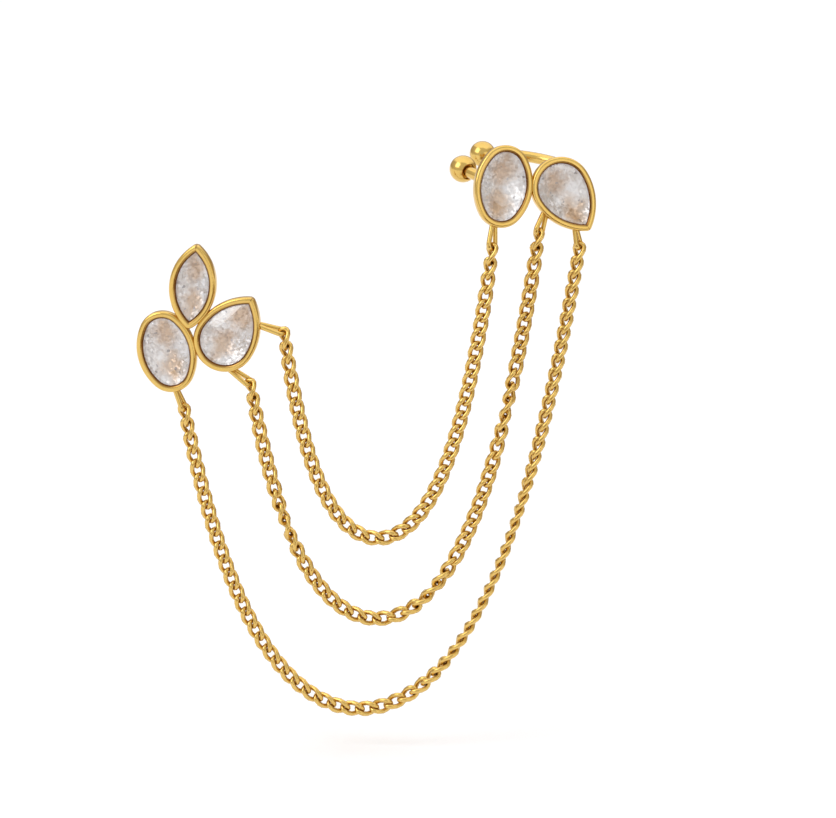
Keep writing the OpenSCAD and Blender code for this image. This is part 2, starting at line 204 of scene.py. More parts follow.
# %% Walls of the tent
BRIGHT_SIDE = (-0.2, -0.6, 0.75)
surround = bpy.data.worlds.new("surround")
surround.use_nodes = True
tree = surround.node_tree
tree.nodes.clear()
toward = add(tree, "ShaderNodeTexCoord").outputs["Generated"]
lit = add(tree, "ShaderNodeVectorMath", {"operation": "DOT_PRODUCT"}, {0: toward, 1: BRIGHT_SIDE})
lit = add(tree, "ShaderNodeMapRange",
          inputs={"Value": lit.outputs["Value"], "From Min": -0.7, "From Max": 0.9})
walls = add(tree, "ShaderNodeMix", {"data_type": "RGBA"},
            {"Factor": lit.outputs[0], 6: linear("B09A74"), 7: linear("FAFAFA")})
light = add(tree, "ShaderNodeBackground", inputs={"Color": walls.outputs[2], "Strength": 0.8})
add(tree, "ShaderNodeOutputWorld", inputs={"Surface": light.outputs[0]})
bpy.context.scene.world = surround
print("Walls are brightest towards", BRIGHT_SIDE)

# %% [markdown]
# Lamps
#
# Big soft lamps make soft edges in the reflections: one as wide as the roof, a key light from
# the upper left, and a weak one from the right that opens the shadows. All of them point at
# the middle of the earring, and the colours are shown as they are, without a film look.

# %% Lamps
# Place and side in metres, and power in watts
SOFTBOXES = {
    "tent_roof": ((0, 0.6, 1.3), 3.0, 20),
    "key_softbox": ((-0.34, -0.30, 0.36), 0.36, 0.9),
    "fill_softbox": ((0.34, -0.37, 0.11), 0.3, 0.17),
}
centre = (cad_low + cad_high) / 2
for name, (spot, side, watts) in SOFTBOXES.items():
    lamp = bpy.data.lights.new(name, "AREA")
    lamp.shape, lamp.size, lamp.energy = "SQUARE", side, watts
    lamp_object = placed(name, lamp)
    lamp_object.location = Vector(spot)
    lamp_object.rotation_euler = (centre - lamp_object.location).to_track_quat("-Z", "Y").to_euler()
    lamp_object.visible_camera = False
bpy.context.scene.view_settings.view_transform = "Standard"
print("Lamps:", list(SOFTBOXES))

# %% [markdown]
# Gold plate on the settings
#
# Brass is cast, tumbled, buffed and plated with yellow gold. Buffing leaves a mirror with a
# faint swell about a millimetre wide and hair-fine marks, so reflections wave a little and
# never look like plastic. Both are noise on the piece's own coordinates, with scales that
# are one over a real size. A thin clear lacquer lies over the plate. Where the mesh marks the
# crease between rim and stone and the seam at a point, the colour is painted dark brown:
# painted shade for the shadow line that falls in those creases.

# %% Gold plate on the settings
gold_plate, tree = new_material("polished_gold_plate")
place = add(tree, "ShaderNodeTexCoord").outputs["Object"]
swell = add(tree, "ShaderNodeTexNoise", inputs={"Vector": place, "Scale": 1 / (1.2 * MM), "Detail": 2})
marks = add(tree, "ShaderNodeTexNoise", inputs={"Vector": place, "Scale": 1 / (0.12 * MM), "Detail": 4})
tone = add(tree, "ShaderNodeMix", {"data_type": "RGBA"},
           {"Factor": swell.outputs["Fac"], 6: linear("D6AF58"), 7: linear("E3C170")})
# Painted shade: dark brown where the mesh marks the crease between rim and stone and a point's seam
painted_crease_shade = add(tree, "ShaderNodeAttribute", {"attribute_name": "painted_crease_shade"})
tone = add(tree, "ShaderNodeMix", {"data_type": "RGBA"},
           {"Factor": painted_crease_shade.outputs["Fac"], 6: tone.outputs[2], 7: linear("7C4C16")})
haze = add(tree, "ShaderNodeMapRange",
           inputs={"Value": marks.outputs["Fac"], "To Min": 0.15, "To Max": 0.26})
wave = add(tree, "ShaderNodeBump",
           inputs={"Strength": 0.25, "Distance": 0.02 * MM, "Height": swell.outputs["Fac"]})
buffed = add(tree, "ShaderNodeBump", inputs={
    "Strength": 0.08, "Distance": 0.004 * MM, "Height": marks.outputs["Fac"], "Normal": wave.outputs[0]})
metal = add(tree, "ShaderNodeBsdfPrincipled", inputs={
    "Base Color": tone.outputs[2], "Metallic": 1, "Roughness": haze.outputs[0],
    "Normal": buffed.outputs[0], "Coat Weight": 0.3, "Coat Roughness": 0.12})
add(tree, "ShaderNodeOutputMaterial", inputs={"Surface": metal.outputs[0]})
print(gold_plate.name, "has", len(tree.nodes), "nodes")

# %% [markdown]
# Gold plate on the chains
#
# Links are bent from drawn wire and tumbled together, so they are a touch less bright than
# the hand-buffed settings, with marks as fine as the wire allows. On the inner side of a link,
# which the mesh marks, the colour is painted darker: painted shade for the shadow inside the link.

# %% Gold plate on the chains
chain_plate, tree = new_material("tumbled_gold_plate")
place = add(tree, "ShaderNodeTexCoord").outputs["Object"]
drawn = add(tree, "ShaderNodeTexNoise", inputs={"Vector": place, "Scale": 1 / (0.25 * MM), "Detail": 3})
tone = add(tree, "ShaderNodeMix", {"data_type": "RGBA"},
           {"Factor": drawn.outputs["Fac"], 6: linear("D8B05A"), 7: linear("E6C578")})
inner_side_shade = add(tree, "ShaderNodeAttribute", {"attribute_name": "inner_side_shade"})
# Painted shade: the inner side of each link is painted dark brown
tone = add(tree, "ShaderNodeMix", {"data_type": "RGBA"},
           {"Factor": inner_side_shade.outputs["Fac"], 6: tone.outputs[2], 7: linear("8E5C1A")})
haze = add(tree, "ShaderNodeMapRange",
           inputs={"Value": drawn.outputs["Fac"], "To Min": 0.14, "To Max": 0.28})
dents = add(tree, "ShaderNodeBump",
            inputs={"Strength": 0.2, "Distance": 0.006 * MM, "Height": drawn.outputs["Fac"]})
metal = add(tree, "ShaderNodeBsdfPrincipled", inputs={
    "Base Color": tone.outputs[2], "Metallic": 1, "Roughness": haze.outputs[0],
    "Normal": dents.outputs[0], "Coat Weight": 0.1, "Coat Roughness": 0.15})
add(tree, "ShaderNodeOutputMaterial", inputs={"Surface": metal.outputs[0]})
print(chain_plate.name, "has", len(tree.nodes), "nodes")

# %% [markdown]
# Cubic zirconia
#
# The stones are colourless cubic zirconia, cut and polished by machine. Such a stone in a
# closed cup would look dark from the front, so its back is foiled: a thin silver lacquer
# sends the light back out. What the eye gets is the foiled facets seen through clear stone,
# and over them the strong glare of a surface whose index is about 2.16. The glare belongs
# to the outside only. Faint clouds stand for the wear that softens it.

# %% Cubic zirconia
zirconia, tree = new_material("cut_cubic_zirconia")
place = add(tree, "ShaderNodeTexCoord").outputs["Object"]
cloud = add(tree, "ShaderNodeTexNoise", inputs={"Vector": place, "Scale": 1 / (0.7 * MM), "Detail": 4})
haze = add(tree, "ShaderNodeMapRange",
           inputs={"Value": cloud.outputs["Fac"], "To Min": 0.0, "To Max": 0.08})
clear = add(tree, "ShaderNodeBsdfTransparent", inputs={"Color": linear("FEFEFE")})
glare = add(tree, "ShaderNodeBsdfGlossy", inputs={"Roughness": haze.outputs[0]})
rays = add(tree, "ShaderNodeFresnel", inputs={"IOR": 2.16})
inside = add(tree, "ShaderNodeNewGeometry").outputs["Backfacing"]
outside = add(tree, "ShaderNodeMath", {"operation": "SUBTRACT"}, {0: 1.0, 1: inside})
share = add(tree, "ShaderNodeMath", {"operation": "MULTIPLY"},
            {0: rays.outputs[0], 1: outside.outputs[0]})
crystal = add(tree, "ShaderNodeMixShader",
              inputs={"Fac": share.outputs[0], 1: clear.outputs[0], 2: glare.outputs[0]})
add(tree, "ShaderNodeOutputMaterial", inputs={"Surface": crystal.outputs[0]})
print(zirconia.name, "has", len(tree.nodes), "nodes")

# %% [markdown]
# Foil behind the stones
#
# Dozens of facets break up what the foil sends back, so a stone looks like crushed ice. Small
# Voronoi cells stand for that: each leans its own way, its colour is painted a little darker by
# chance as painted facet shade, and a few are painted dark grey as painted dark glints. Along
# the length of a stone a tan bow tie is painted into the colour: a painted reflection of the
# gold cup where the facets are too steep to return the light. The UV map "face_on" gives each
# spot's place across and along the stone, from -1 to 1.

# %% Foil behind the stones
# How far the cells lean
ICE_LEAN = 0.45
# The painted tan bow tie: how soon one lobe follows the other, how wide they are and how ragged
TIE_PHASE, TIE_LOBE, TIE_RAGGED = 3.4, 0.45, 0.9
# The painted facet shade: how far it varies by cell, the share of cells not painted dark, and how dark
# the painted dark glints are
ICE_SPREAD, ICE_LIVE, ICE_DIM = 0.22, 0.985, 0.5
foil, tree = new_material("silver_foil_backing")
place = add(tree, "ShaderNodeTexCoord").outputs["Object"]
blotch = add(tree, "ShaderNodeTexNoise", inputs={"Vector": place, "Scale": 1 / (0.9 * MM), "Detail": 4})
ice = add(tree, "ShaderNodeTexVoronoi", inputs={"Vector": place, "Scale": 1 / (0.22 * MM)})
lean = add(tree, "ShaderNodeVectorMath", {"operation": "MULTIPLY_ADD"},
           {0: ice.outputs["Color"], 1: (ICE_LEAN,) * 3, 2: (-ICE_LEAN / 2,) * 3})
leant = add(tree, "ShaderNodeVectorMath", {"operation": "ADD"},
            {0: lean.outputs[0], 1: add(tree, "ShaderNodeNewGeometry").outputs["Normal"]})
leant = add(tree, "ShaderNodeVectorMath", {"operation": "NORMALIZE"}, {0: leant.outputs[0]})

face_on = add(tree, "ShaderNodeSeparateXYZ",
              inputs={0: add(tree, "ShaderNodeUVMap", {"uv_map": "face_on"}).outputs[0]})
chance = add(tree, "ShaderNodeSeparateXYZ", inputs={0: ice.outputs["Color"]})
results = {"across": face_on.outputs[0], "along": face_on.outputs[1],
           "blotch": blotch.outputs["Fac"], "chance": chance.outputs[0]}
# Each row is one Math node: the name of its result, what it does and what it takes
FOIL_SUMS = (
    ("sideways", "ABSOLUTE", "across"),
    ("phase", "MULTIPLY", "along", TIE_PHASE),
    ("wave", "SINE", "phase"),
    ("lobe", "ABSOLUTE", "wave"),
    ("ragged", "MULTIPLY", "blotch", TIE_RAGGED),
    ("reach", "MULTIPLY_ADD", "lobe", TIE_LOBE, "ragged"),
    ("in the painted tie", "SUBTRACT", "reach", "sideways"),
    ("darker", "MULTIPLY", "chance", ICE_SPREAD),
    ("dark glint", "GREATER_THAN", "chance", ICE_LIVE),
    ("facet shade", "MULTIPLY_ADD", "dark glint", ICE_DIM, "darker"),
)
for name, operation, *terms in FOIL_SUMS:
    taken = {i: results.get(term, term) for i, term in enumerate(terms)}
    results[name] = add(tree, "ShaderNodeMath", {"operation": operation}, taken).outputs[0]
# Painted reflection: a tan bow tie along the stone's length, mixed into the foil's colour
tie = add(tree, "ShaderNodeMapRange", inputs={
    "Value": results["in the painted tie"], "From Min": 0.2, "From Max": 0.75, "To Min": 0, "To Max": 0.85})
tone = add(tree, "ShaderNodeMix", {"data_type": "RGBA"},
           {"Factor": tie.outputs[0], 6: linear("F4F3F4"), 7: linear("D0AC84")})
# Painted facet shade: each cell a little darker by chance, and a few cells painted dark grey as dark
# glints
tone = add(tree, "ShaderNodeMix", {"data_type": "RGBA"},
           {"Factor": results["facet shade"], 6: tone.outputs[2], 7: linear("98949A")})
metal = add(tree, "ShaderNodeBsdfPrincipled", inputs={
    "Base Color": tone.outputs[2], "Metallic": 0.65, "Roughness": 0.36, "Normal": leant.outputs[0]})
add(tree, "ShaderNodeOutputMaterial", inputs={"Surface": metal.outputs[0]})
print(foil.name, "has", len(tree.nodes), "nodes")


# %% [markdown]
# Places on the bench
#
# A setting is made flat on the bench, as in the workshop: X right, Y up the face and Z from
# the back to the face. One matrix lifts each setting to its place in the earring, and the
# last factor turns millimetres into Blender's metres.

# %% Places on the bench
def at(x, y, z):
    """A move by x, y and z."""
    return Matrix.Translation((x, y, z))


def turn(axis, angle):
    """A turn about an axis by an angle in degrees."""
    return Matrix.Rotation(radians(angle), 4, axis)


BENCH = Matrix.Scale(MM, 4)
STUD = BENCH @ turn("X", 90)
CUFF = BENCH @ at(24.9, 4, 15.1) @ turn("Z", 25) @ turn("X", 78) @ turn("Z", -10)
# Shape, x, y, height, turn and size of each cup
STUD_CUPS = {
    "stud_oval": ("oval", -5.56, -1.36, 0.05, 14.5, 1),
    "stud_marquise": ("marquise", -3.15, 5.1, 0.06, -4.5, 1.03),
    "stud_pear": ("pear", 0, 0, 0, -31.5, 1),
}
CUFF_CUPS = {
    "cuff_oval": ("oval", 0, 0, 0, 0, 1),
    "cuff_pear": ("pear", 5.62, 0.72, 0.07, -137.5, 0.975),
}


def cup_place(setting, row):
    """Where a cup, or the stone in it, stands."""
    _, x, y, z, angle, size = row
    return setting @ at(x, y, z) @ turn("Z", angle) @ Matrix.Scale(size, 4)


print("Stud and cuff are", round((CUFF.translation - STUD.translation).length / MM, 1), "mm apart")


# %% [markdown]
# Outlines of the stones
#
# Ovals, pears and marquises are drawn with compasses: each is a few arcs that meet. A bezel
# is a strip of metal bent round the stone, so it keeps its thickness round a point, and its
# outside is rounder than its inside. An outline at any distance inside the edge follows from
# the same arcs with smaller radii.

# %% Outlines of the stones
OVAL_END_R, OVAL_END_Y, OVAL_SIDE_R, OVAL_SIDE_X = 2.3, 1.65, 5.05, 2.2
PEAR_R, PEAR_FLANK_R = 3, 5.85
MARQUISE_HALF_W, MARQUISE_SIDE_R = 2.2, 4.9
TIP_R, TIP_STEPS = 0.5, 6


def arc(x, y, r, start, end, steps):
    """Points on an arc, in degrees, without its last one."""
    angles = [radians(start + (end - start) * i / steps) for i in range(steps)]
    return [(x + r * cos(a), y + r * sin(a)) for a in angles]


def tip_angle(side_x, side_r, inset):
    """Where a side ends at a point: at its mitre, or where the rounding of the point starts."""
    return degrees(acos(side_x / (side_r - max(inset, TIP_R))))


def point(side_x, side_r, inset):
    """The rounding of an upper point. Deeper than its radius it is one sharp corner."""
    a = tip_angle(side_x, side_r, inset)
    y = (side_r - max(inset, TIP_R)) * sin(radians(a))
    return arc(0, y, max(TIP_R - inset, 0), a, 180 - a, TIP_STEPS)


def outline(shape, inset, steps=24):
    """The outline at a distance inside the edge, with the same number of points every time."""
    if shape == "oval":
        a = degrees(atan2(OVAL_END_Y, OVAL_SIDE_X))
        return (
            arc(-OVAL_SIDE_X, 0, OVAL_SIDE_R - inset, -a, a, steps)
            + arc(0, OVAL_END_Y, OVAL_END_R - inset, a, 180 - a, steps)
            + arc(OVAL_SIDE_X, 0, OVAL_SIDE_R - inset, 180 - a, 180 + a, steps)
            + arc(0, -OVAL_END_Y, OVAL_END_R - inset, 180 + a, 360 - a, steps)
        )
    if shape == "pear":
        side_x = PEAR_FLANK_R - PEAR_R
        a = tip_angle(side_x, PEAR_FLANK_R, inset)
        return (
            arc(-side_x, 0, PEAR_FLANK_R - inset, 0, a, steps)
            + point(side_x, PEAR_FLANK_R, inset)
            + arc(side_x, 0, PEAR_FLANK_R - inset, 180 - a, 180, steps)
            + arc(0, 0, PEAR_R - inset, 180, 360, 2 * steps)
        )
    side_x = MARQUISE_SIDE_R - MARQUISE_HALF_W
    a = tip_angle(side_x, MARQUISE_SIDE_R, inset)
    half = (
        arc(-side_x, 0, MARQUISE_SIDE_R - inset, -a, a, 2 * steps)
        + point(side_x, MARQUISE_SIDE_R, inset)
    )
    return half + [(-x, -y) for x, y in half]


for shape in ("oval", "pear", "marquise"):
    heights = [p[1] for p in outline(shape, 0)]
    length = round(max(heights) - min(heights), 2)
    print(shape, "outline:", len(heights), "points,", length, "mm long")


# %% [markdown]
# Finishing a piece
#
# Every piece is built in a bmesh, where vertices and faces are added one by one. The last
# steps are the same for all: merge vertices that coincide, turn the faces outwards, shade
# smoothly except over edges that really are sharp, and hide the CAD node that it replaces.

# %% Finishing a piece
MERGE_DIST = 0.001 * MM


def finish_piece(name, shell, materials, replaced, sharp_angle=40):
    """Makes an object of a bmesh, in place of CAD nodes."""
    bmesh.ops.remove_doubles(shell, verts=shell.verts, dist=MERGE_DIST)
    bmesh.ops.dissolve_degenerate(shell, edges=shell.edges, dist=MERGE_DIST / 2)
    bmesh.ops.recalc_face_normals(shell, faces=shell.faces)
    mesh = bpy.data.meshes.new(name)
    shell.to_mesh(mesh)
    shell.free()
    for material in materials:
        mesh.materials.append(material)
    if sharp_angle:
        mesh.shade_smooth()
        mesh.set_sharp_from_angle(angle=radians(sharp_angle))
    hand_over(name, mesh, replaced)


def hand_over(name, mesh, replaced):
    """Links a mesh as an object that rides on the earring."""
    piece = placed(name, mesh)
    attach(piece, "root")
    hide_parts(replaced)
    mesh.calc_loop_triangles()
    print(name, "has", len(mesh.loop_triangles), "triangles")


def skin(shell, place, rings):
    """Joins rings of points with quads and puts a lid on both ends."""
    rows = [[shell.verts.new(place @ Vector(p)) for p in ring] for ring in rings]
    for low, high in zip(rows, rows[1:]):
        for i in range(len(low)):
            j = (i + 1) % len(low)
            shell.faces.new((low[i], low[j], high[j], high[i]))
    shell.faces.new(rows[0][::-1])
    shell.faces.new(rows[-1])
    return rows


# %% [markdown]
# Bezel cups
#
# A cup is one cross-section carried round the stone: a sloped outer wall, an upright band, a
# rim with rounded edges pushed over the stone, a lip, and an inner wall that narrows to the
# floor. The section is a list of insets and heights, and each of its points makes one ring.

# %% Bezel cups
CUP_H, RIM_W, BAND_H, BACK_INSET = 2.6, 0.6, 0.8, 0.8
LIP_H, RECESS_W, GIRDLE_Z, FLOOR_T = 0.23, 0.2, 2.0, 0.4
RIM_EDGE_R, RIM_FLAT, LIP_INSET = 0.26, 0.38, 0.67
# Where the rounding of the rim's edge at the stone stops, in degrees
LIP_TURN = 150
# Rounding of the outer wall's two bends, and how far that wall leans, in degrees
BEND_R, WALL_LEAN = 0.1, 24
# The lip is thicker at the wall than at its edge, by this factor
LIP_ROOT = 1.5
# The wall below the stone: a gap under the girdle, the depth and inset of its bend, its foot
SEAT_GAP, SEAT_DROP, SEAT_INSET, FOOT_INSET = 0.05, 0.4, 0.75, 1.15
# The last ring before a flat middle, and how close a second ring lies that keeps a flat flat
MIDDLE_INSET, BESIDE = 1.5, 0.02
ROUND_STEPS = 6


def rounding(inset, height, r, start, end):
    """Rounding of an edge in the section, about its own middle."""
    angles = [radians(start + (end - start) * i / ROUND_STEPS) for i in range(ROUND_STEPS + 1)]
    return [(inset - r * cos(a), height + r * sin(a)) for a in angles]


CUP_SECTION = [
    (MIDDLE_INSET, 0),
    (BACK_INSET + BEND_R + BESIDE, 0),
    *rounding(BACK_INSET + BEND_R, BEND_R, BEND_R, -90, -WALL_LEAN),
    *rounding(BEND_R, CUP_H - BAND_H, BEND_R, -WALL_LEAN, 0),
    *rounding(RIM_EDGE_R, CUP_H - RIM_EDGE_R, RIM_EDGE_R, 0, 90),
    *rounding(RIM_FLAT, CUP_H - RIM_EDGE_R, RIM_EDGE_R, 90, LIP_TURN),
    (LIP_INSET, CUP_H - LIP_H + BESIDE),
    (LIP_INSET, CUP_H - LIP_H),
    (RIM_W - RECESS_W, CUP_H - LIP_ROOT * LIP_H),
    (RIM_W - RECESS_W, GIRDLE_Z - SEAT_GAP),
    (SEAT_INSET, GIRDLE_Z - SEAT_DROP),
    (FOOT_INSET, FLOOR_T),
    (MIDDLE_INSET, FLOOR_T),
]
# Where the painted shade of the crease starts, how soon it is full, and how dark the painted shade on a
# point's seam is
SHADE_INSET, SHADE_FADE, SEAM_SHADE = 0.44, 0.12, 0.9
# Two places in mm that are nearer to each other than this count as one
HAIR = 0.01


def cup(shell, place, shape):
    """One cup, from the middle of its back round the rim to the middle of its floor."""
    rings = [[(x, y, z) for x, y in outline(shape, inset)] for inset, z in CUP_SECTION]
    rows = skin(shell, place, rings)
    painted_crease_shade = shell.verts.layers.float["painted_crease_shade"]
    # Marks where painted shade goes: the lip rings next to the stone above the girdle, and the seam at
    # an upper point
    for row, ring, (inset, _) in zip(rows, rings, CUP_SECTION):
        lip_shade = min(max((inset - SHADE_INSET) / SHADE_FADE, 0), 1)
        for v, (x, y, z) in zip(row, ring):
            seam_shade = SEAM_SHADE if shape != "oval" and abs(x) < HAIR and y > 0 else 0
            v[painted_crease_shade] = max(lip_shade, seam_shade) if z > GIRDLE_Z else 0


print("A cup's section has", len(CUP_SECTION), "points")


# %% [markdown]
# Wire work
#
# Loops, the cuff's ring and the post are round wire. A tube follows a line of points, and
# its ring of wire points is turned only as far as the line turns, so that it never twists.

# %% Wire work
WIRE_SIDES = 14


def tube(shell, place, path, radii):
    """Round wire along a path, with a radius for each of its points and a lid on each end."""
    path = [Vector(p) for p in path]
    aheads = [(b - a).normalized() for a, b in zip(path, path[1:])]
    side = aheads[0].orthogonal().normalized()
    rings = []
    for i, p in enumerate(path):
        ahead = (aheads[max(i - 1, 0)] + aheads[min(i, len(aheads) - 1)]).normalized()
        side = (side - ahead * side.dot(ahead)).normalized()
        over = ahead.cross(side)
        rings.append([
            p + (side * cos(a) + over * sin(a)) * radii[i]
            for a in (2 * pi * k / WIRE_SIDES for k in range(WIRE_SIDES))
        ])
    skin(shell, place, rings)


# The CAD model's loops have wire of diameter LOOP_D, which sets where their round ends lie
LOOP_W, LOOP_D, LOOP_Z, LOOP_SINK, LOOP_FOOT = 1, 0.4, 1.75, 0.35, 0.216
LOOP_WIRE_R, LOOP_STEPS = 0.235, 16


def loop_place(setting, row):
    """A loop's matrix, X out of the cup and Y across the loop, and its round end's middle on X."""
    x, y, direction, length, own_turn = row
    place = setting @ at(x, y, LOOP_Z) @ turn("Z", direction) @ turn("X", 90 + own_turn)
    return place, length - LOOP_W / 2 - LOOP_D / 2


def loop(shell, setting, row):
    """A soldered loop: out along one leg, round the end and back along the other."""
    place, end_x = loop_place(setting, row)
    reach = end_x + LOOP_SINK
    lean = degrees(asin(LOOP_W / 2 / hypot(reach, LOOP_FOOT)) - atan2(LOOP_FOOT, reach))
    bend = arc(end_x, 0, LOOP_W / 2, -90 - lean, 90 + lean, LOOP_STEPS)
    bend_end = (end_x - LOOP_W / 2 * sin(radians(lean)), LOOP_W / 2 * cos(radians(lean)))
    line = [(-LOOP_SINK, -LOOP_FOOT), *bend, bend_end, (-LOOP_SINK, LOOP_FOOT)]
    path = [(x, y, 0) for x, y in line]
    tube(shell, place, path, [LOOP_WIRE_R] * len(path))


def lathe(shell, place, profile, steps):
    """Turns a profile of (height, radius) about the Z axis. Its ends lie on the axis."""
    rings = [[(r * cos(a), r * sin(a), z) for a in (2 * pi * k / steps for k in range(steps))]
             for z, r in profile]
    skin(shell, place, rings)


# %% [markdown]
# The stud's setting
#
# Three cups soldered side by side, three loops on their walls and the post behind. The post
# is hidden in the photograph, so it is the usual one: a pad of solder at its foot, a groove
# that the nut snaps into, and a rounded tip that finds the piercing.

# %% The stud's setting
# Where each loop leaves its cup, its direction, its length and its own turn
STUD_LOOPS = [
    (3.42, 1.56, -14, 2.55, 15),
    (0.71, -2.92, -34, 2.45, 20),
    (-4.64, -5.22, -66, 2.18, 10),
]
POST_R, GROOVE_R, POST_LEN, POST_SIDES = 0.4, 0.3, 10, 40
# Heights and radii: the pad of solder, the shank with its groove, and the rounded tip
POST_PROFILE = [
    (-0.2, 0), (-0.2, 0.95), (0.1, 0.95), (0.17, 0.93), (0.24, 0.8), (0.28, 0.6), (0.35, 0.45),
    (0.5, POST_R), (8, POST_R), (8.1, GROOVE_R), (8.5, GROOVE_R), (8.6, POST_R),
    (9.5, POST_R), (9.7, 0.36), (9.87, 0.29), (9.96, 0.21), (POST_LEN, 0.1), (POST_LEN, 0),
]


def cups_and_loops(setting, cups, loops):
    """The bmesh of a setting, ready for the wire that is soldered behind it."""
    shell = bmesh.new()
    shell.verts.layers.float.new("painted_crease_shade")
    for row in cups.values():
        cup(shell, cup_place(setting, row), row[0])
    for row in loops:
        loop(shell, setting, row)
    return shell


shell = cups_and_loops(STUD, STUD_CUPS, STUD_LOOPS)
lathe(shell, STUD @ turn("X", 180), POST_PROFILE, POST_SIDES)
finish_piece("stud_bezels", shell, [gold_plate], "stud_setting")

# %% [markdown]
# The cuff's setting
#
# Two cups share an open ring of thicker wire, which stands out behind them and hooks over
# the rim of the ear. The wire thins a little towards the back, and each end is turned down
# to a pin for its ball.

# %% The cuff's setting
CUFF_LOOPS = [
    (-0.3, -3.93, -87, 2.32, 52),
    (4.48, -2.13, -101, 2.07, 52),
    (7.77, -3.11, -71, 1.89, 38),
]
RING_R, RING_START, RING_END, RING_STEPS = 5.9, 199, 464, 72
RING = CUFF @ at(3.77, 0.55, -0.16) @ turn("Z", 4.6) @ turn("X", -74) @ at(0, RING_R, 0)
FRONT_WIRE_R, BACK_WIRE_R = 0.57, 0.52
# The pins, and the short shoulders on which the wire narrows to them
PIN_R, PIN_LEN, SHOULDER_LEN, SHOULDER_DROP = 0.45, 1.5, 0.08, 0.05


def ring_point(angle, forward=0):
    """A point of the ring's middle line, moved forward along the tangent."""
    a = radians(angle)
    return (RING_R * cos(a) - forward * sin(a), RING_R * sin(a) + forward * cos(a), 0)


path = [ring_point(RING_START, -d) for d in (PIN_LEN, SHOULDER_LEN, SHOULDER_LEN / 2)]
radii = [PIN_R, PIN_R, FRONT_WIRE_R - SHOULDER_DROP]
for i in range(RING_STEPS + 1):
    path.append(ring_point(RING_START + (RING_END - RING_START) * i / RING_STEPS))
    radii.append(FRONT_WIRE_R + (BACK_WIRE_R - FRONT_WIRE_R) * i / RING_STEPS)
path += [ring_point(RING_END, d) for d in (SHOULDER_LEN / 2, SHOULDER_LEN, PIN_LEN)]
radii += [BACK_WIRE_R - SHOULDER_DROP, PIN_R, PIN_R]

shell = cups_and_loops(CUFF, CUFF_CUPS, CUFF_LOOPS)
tube(shell, RING, path, radii)
finish_piece("cuff_bezels_and_ring", shell, [gold_plate], "cuff_setting")

# %% [markdown]
# The two balls
#
# Each ball is turned on a lathe and drilled for the pin. Its mouth is opened to a cone, so a
# dark crescent shows between the ball and the wire.

# %% The two balls
BALL_REACH, BORE_R, BORE_DEPTH = 1.12, 0.5, 0.6
MOUTH_R, CONE_Z = 0.793, 0.84
# The ball stops this angle short of its mouth, whose edge is rounded by two points
EDGE_ANGLE, EDGE_POINTS = 0.04, ((0.01, -0.005), (-0.02, -0.045))
BALL_SIDES, BALL_STEPS, BALL_SHARP = 48, 30, 50
# CAD node, its end of the ring, which way it faces and its radius
BEADS = {
    "front_bead": ("front_ball", RING_START, -1, 1.3),
    "back_bead": ("back_ball", RING_END, 1, 1.24),
}


def ball_profile(r):
    """From the far pole over the mouth and down the bore. Heights point to the mouth."""
    mouth = asin(MOUTH_R / r)
    angles = [(pi - mouth - EDGE_ANGLE) * i / BALL_STEPS for i in range(BALL_STEPS + 1)]
    edge = [(r * cos(mouth) + dz, MOUTH_R + dr) for dz, dr in EDGE_POINTS]
    bore = [(CONE_Z, BORE_R), (-BORE_DEPTH, BORE_R), (-BORE_DEPTH, 0)]
    return [(-r * cos(a), r * sin(a)) for a in angles] + edge + bore


for name, (node, angle, way, r) in BEADS.items():
    place = RING @ turn("Z", angle) @ at(RING_R, 0, 0) @ turn("Z", 90 * way) @ at(BALL_REACH, 0, 0)
    shell = bmesh.new()
    lathe(shell, place @ turn("Y", -90), ball_profile(r), BALL_SIDES)
    finish_piece(name, shell, [gold_plate], node, sharp_angle=BALL_SHARP)


# %% [markdown]
# Cut stones
#
# A brilliant cut is a recipe: a flat table, kite-shaped main facets that each stand square
# to the outline, star facets between them and pairs of small facets along the girdle, with
# a deeper copy below that ends in a point. The lower facets are ground at one angle, so a
# narrow stone is less deep. Only the corners are worked out here. A convex hull stretches flat
# facets over them, just as a lap grinds them, and coplanar triangles are joined again.

# %% Cut stones
GIRDLE_INSET, GIRDLE_H, CROWN_H, MAIN_FACETS = 0.43, 0.15, 0.6, 12
# Width of the table as a share of the stone's, and how far up the crown its facets meet
TABLE_SHARE, MEET_SHARE = 0.56, 0.45
# Depth of the pavilion as a share of half the stone's width
PAVILION_SHARE = 0.6
# Depth and width of each row of corners on the pavilion, as shares of the whole
PAVILION_TIERS = ((0.2, 0.88), (0.42, 0.68), (0.63, 0.46), (0.82, 0.24))
# Points on each arc that is searched for a place, and the angle that still counts as flat
FINE_STEPS, FLAT_ANGLE = 240, 0.4


def spaced(shape, inset, count):
    """Points on an outline at even angles about its middle, starting at the upper point."""
    line = [Vector(p) for p in outline(shape, inset, FINE_STEPS)]
    found = []
    for k in range(count):
        a = pi / 2 + 2 * pi * k / count
        ahead, aside = Vector((cos(a), sin(a))), Vector((-sin(a), cos(a)))
        found.append(min((p for p in line if p.dot(ahead) > 0), key=lambda p: abs(p.dot(aside))))
    return found


def outward(shape, inset, p):
    """The way out of the outline at a point of it. At a sharp point this is straight along."""
    if abs(p.x) < HAIR:
        return Vector((0, 1 if p.y > 0 else -1))
    line = [Vector(q) for q in outline(shape, inset, FINE_STEPS)]
    i = min(range(len(line)), key=lambda n: (line[n] - p).length)
    along = line[(i + 1) % len(line)] - line[i - 1]
    return Vector((along.y, -along.x)).normalized()


def meet(p, p_out, q, q_out, share):
    """Where two neighbouring main facets meet at a share of the way up from the girdle.
    A main facet draws in from the girdle by the same share of its point's distance."""
    right = [p_out.dot(p) * (1 - share), q_out.dot(q) * (1 - share)]
    grid = Matrix(((p_out.x, p_out.y), (q_out.x, q_out.y)))
    return grid.inverted() @ Vector(right)


